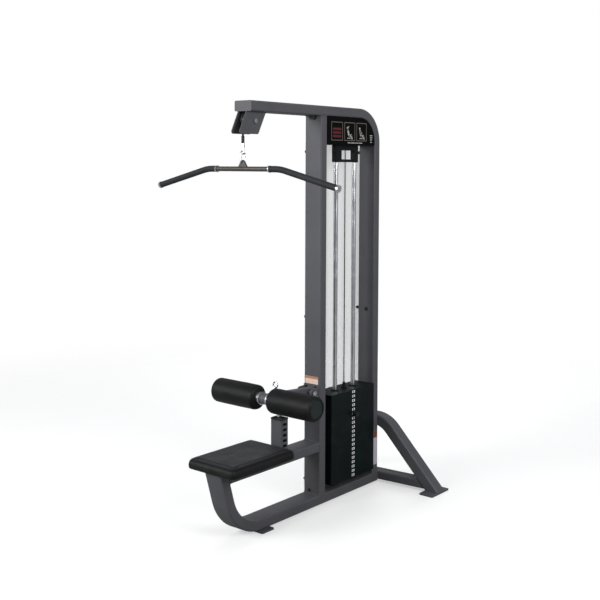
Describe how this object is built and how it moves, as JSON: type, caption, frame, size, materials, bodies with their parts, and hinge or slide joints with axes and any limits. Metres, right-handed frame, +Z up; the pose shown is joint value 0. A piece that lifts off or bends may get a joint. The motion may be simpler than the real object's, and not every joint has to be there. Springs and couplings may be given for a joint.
{
  "type": "lat pulldown machine",
  "caption": "Selectorised lat pulldown machine: bent tube frame, cable over two pulleys, bent pull bar, seat and adjustable thigh rollers.",
  "frame": {"origin": "centre of the bounding box's underside, on the floor", "axes": "+Z up, -Y towards the user's side where the seat is, +X the side with the placard and the selector pin"},
  "size_m": [1.2284, 1.5166, 2.211],
  "materials": {
    "frame_paint": "satin metallic grey powder coat",
    "black_paint": "satin black",
    "bar_paint": "satin warm grey",
    "stack_iron": "painted near-black",
    "chrome": "bright plated",
    "zinc": "zinc plated",
    "black_plastic": "moulded, fine texture",
    "black_rubber": "matt",
    "black_vinyl": "grained upholstery vinyl",
    "cable_jacket": "smooth jacket over steel cable",
    "placard_black": "printed gloss panel",
    "tag_white": "printed tag",
    "clear_acrylic": "clear sheet",
    "plywood": "raw"
  },
  "bodies": {
    "frame": {"base_tube": "frame_paint", "seat_beam": "frame_paint", "front_column": "frame_paint", "top_frame_tube": "frame_paint", "arm_end_cap": "frame_paint", "rear_leg_right": "frame_paint", "rear_leg_left": "frame_paint", "rear_leg_beams": "frame_paint", "front_foot_plate": "frame_paint", "rear_foot_plates": "frame_paint", "front_pulley_bracket": "frame_paint", "rear_pulley_bracket": "frame_paint", "pulley_axles": "zinc", "rod_hanger": "black_paint", "rod_top_bracket": "black_paint", "guide_rods": "chrome", "stack_bumpers": "black_rubber", "weight_plates_resting": "stack_iron", "number_tags_resting": "tag_white", "placard": "placard_black", "far_side_cover": "placard_black", "clear_shield": "clear_acrylic", "shield_spacers": "black_plastic", "cable_run": "cable_jacket", "seat_pad": "black_vinyl", "seat_board": "plywood", "seat_plate": "frame_paint", "rack_post": "frame_paint", "thigh_clevis": "frame_paint", "frame_trim": "black_plastic"},
    "front_pulley": {"front_pulley": "black_plastic", "front_pulley_bearing": "zinc"},
    "rear_pulley": {"rear_pulley": "black_plastic", "rear_pulley_bearing": "zinc"},
    "lift_stack": {"weight_plates_lifted": "stack_iron", "head_plate": "stack_iron", "head_plate_bushes": "black_plastic", "selector_stem": "chrome", "cable_anchor": "chrome", "number_tags_lifted": "tag_white", "cable_stack_drop": "cable_jacket"},
    "selector": {"selector_pin": "chrome", "selector_knob": "black_plastic"},
    "cable_end": {"cable_stop": "black_rubber", "swivel_housing": "chrome", "cable_bar_drop": "cable_jacket"},
    "swivel": {"swivel_link": "chrome"},
    "pull_bar": {"bar_gusset": "bar_paint", "lat_bar": "bar_paint", "bar_rings": "chrome", "bar_grips": "black_rubber"},
    "thigh_arm": {"thigh_arm": "frame_paint", "arm_pins": "chrome", "roller_axle": "chrome"},
    "strut": {"rack_strut": "chrome"},
    "release": {"release_ring": "chrome"},
    "roller_left": {"roller_cores_left": "black_plastic", "roller_foam_left": "black_vinyl"},
    "roller_right": {"roller_cores_right": "black_plastic", "roller_foam_right": "black_vinyl"}
  },
  "joints": [
    {"name": "stack_lift", "type": "slide", "parent": "frame", "child": "lift_stack", "axis": [0, 0, 1], "range_m": [0, 0.9], "deforming": ["cable_stack_drop"]},
    {"name": "bar_pull", "type": "slide", "parent": "frame", "child": "cable_end", "axis": [0, 0, -1], "range_m": [0, 0.9], "deforming": ["cable_bar_drop"]},
    {"name": "front_pulley_spin", "type": "hinge", "parent": "frame", "child": "front_pulley", "pos_m": [0, -0.45629, 2.11], "axis": [1, 0, 0], "range_deg": [0, 910]},
    {"name": "rear_pulley_spin", "type": "hinge", "parent": "frame", "child": "rear_pulley", "pos_m": [0, 0.28521, 2.11], "axis": [1, 0, 0], "range_deg": [0, 910]},
    {"name": "selector_pull", "type": "slide", "parent": "lift_stack", "child": "selector", "axis": [1, 0, 0], "range_m": [0, 0.08]},
    {"name": "bar_swivel", "type": "hinge", "parent": "cable_end", "child": "swivel", "pos_m": [0, -0.51329, 1.969], "axis": [0, 0, 1], "range_deg": [-75, 75]},
    {"name": "bar_tilt", "type": "hinge", "parent": "swivel", "child": "pull_bar", "pos_m": [0, -0.51329, 1.899], "axis": [0, 1, 0], "range_deg": [-20, 20]},
    {"name": "thigh_arm_pivot", "type": "hinge", "parent": "frame", "child": "thigh_arm", "pos_m": [0, 0.00171, 0.64], "axis": [-1, 0, 0], "range_deg": [-8, 14]},
    {"name": "strut_hinge", "type": "hinge", "parent": "thigh_arm", "child": "strut", "pos_m": [0, -0.22572, 0.65615], "axis": [-1, 0, 0], "range_deg": [-14, 8]},
    {"name": "release_pull", "type": "slide", "parent": "thigh_arm", "child": "release", "axis": [0, 0.0708, 0.9975], "range_m": [0, 0.012], "stiffness_N_per_m": 600, "springref_m": -0.003},
    {"name": "left_roller_spin", "type": "hinge", "parent": "thigh_arm", "child": "roller_left", "pos_m": [0, -0.33629, 0.664], "axis": [1, 0, 0], "continuous": true},
    {"name": "right_roller_spin", "type": "hinge", "parent": "thigh_arm", "child": "roller_right", "pos_m": [0, -0.33629, 0.664], "axis": [1, 0, 0], "continuous": true}
  ],
  "couplings": [
    {"joint": "bar_pull", "follows": "stack_lift", "ratio": 1},
    {"joint": "front_pulley_spin", "follows": "stack_lift", "rad_per_m": 17.544},
    {"joint": "rear_pulley_spin", "follows": "stack_lift", "rad_per_m": 17.544},
    {"joint": "strut_hinge", "follows": "thigh_arm_pivot", "ratio": -1}
  ]
}
